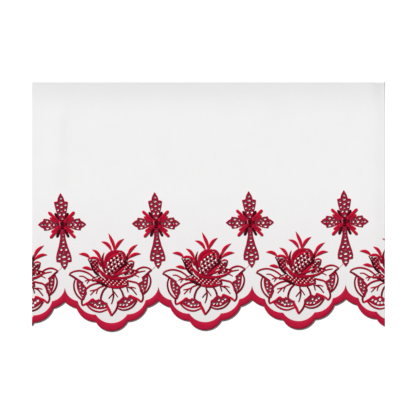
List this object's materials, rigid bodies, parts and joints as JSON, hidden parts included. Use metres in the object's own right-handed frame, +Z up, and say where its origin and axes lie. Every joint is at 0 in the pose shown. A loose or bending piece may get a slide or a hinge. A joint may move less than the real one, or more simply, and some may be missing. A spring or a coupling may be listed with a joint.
{
  "type": "altar cloth",
  "caption": "White linen altar cloth with a scalloped red edge, openwork crosses and pomegranate flowers, lying flat, its far edge turned under.",
  "frame": {"origin": "centre of the cloth's outline, on the surface it lies on", "axes": "+X along the scalloped band, +Y from the scallops to the turned-under edge, +Z up, out of the embroidered face"},
  "size_m": [0.612, 0.433, 0.004],
  "materials": {
    "linen": "matt white linen",
    "band_thread": "red satin stitch",
    "cross_thread": "red thread over openwork",
    "flower_thread": "red thread over openwork"
  },
  "bodies": {
    "root": {"linen_ground": "linen", "scalloped_band": "band_thread", "cross_1": "cross_thread", "cross_2": "cross_thread", "cross_3": "cross_thread", "cross_4": "cross_thread", "flower_1": "flower_thread", "flower_2": "flower_thread", "flower_3": "flower_thread", "flower_4": "flower_thread", "flower_5": "flower_thread"}
  },
  "joints": []
}
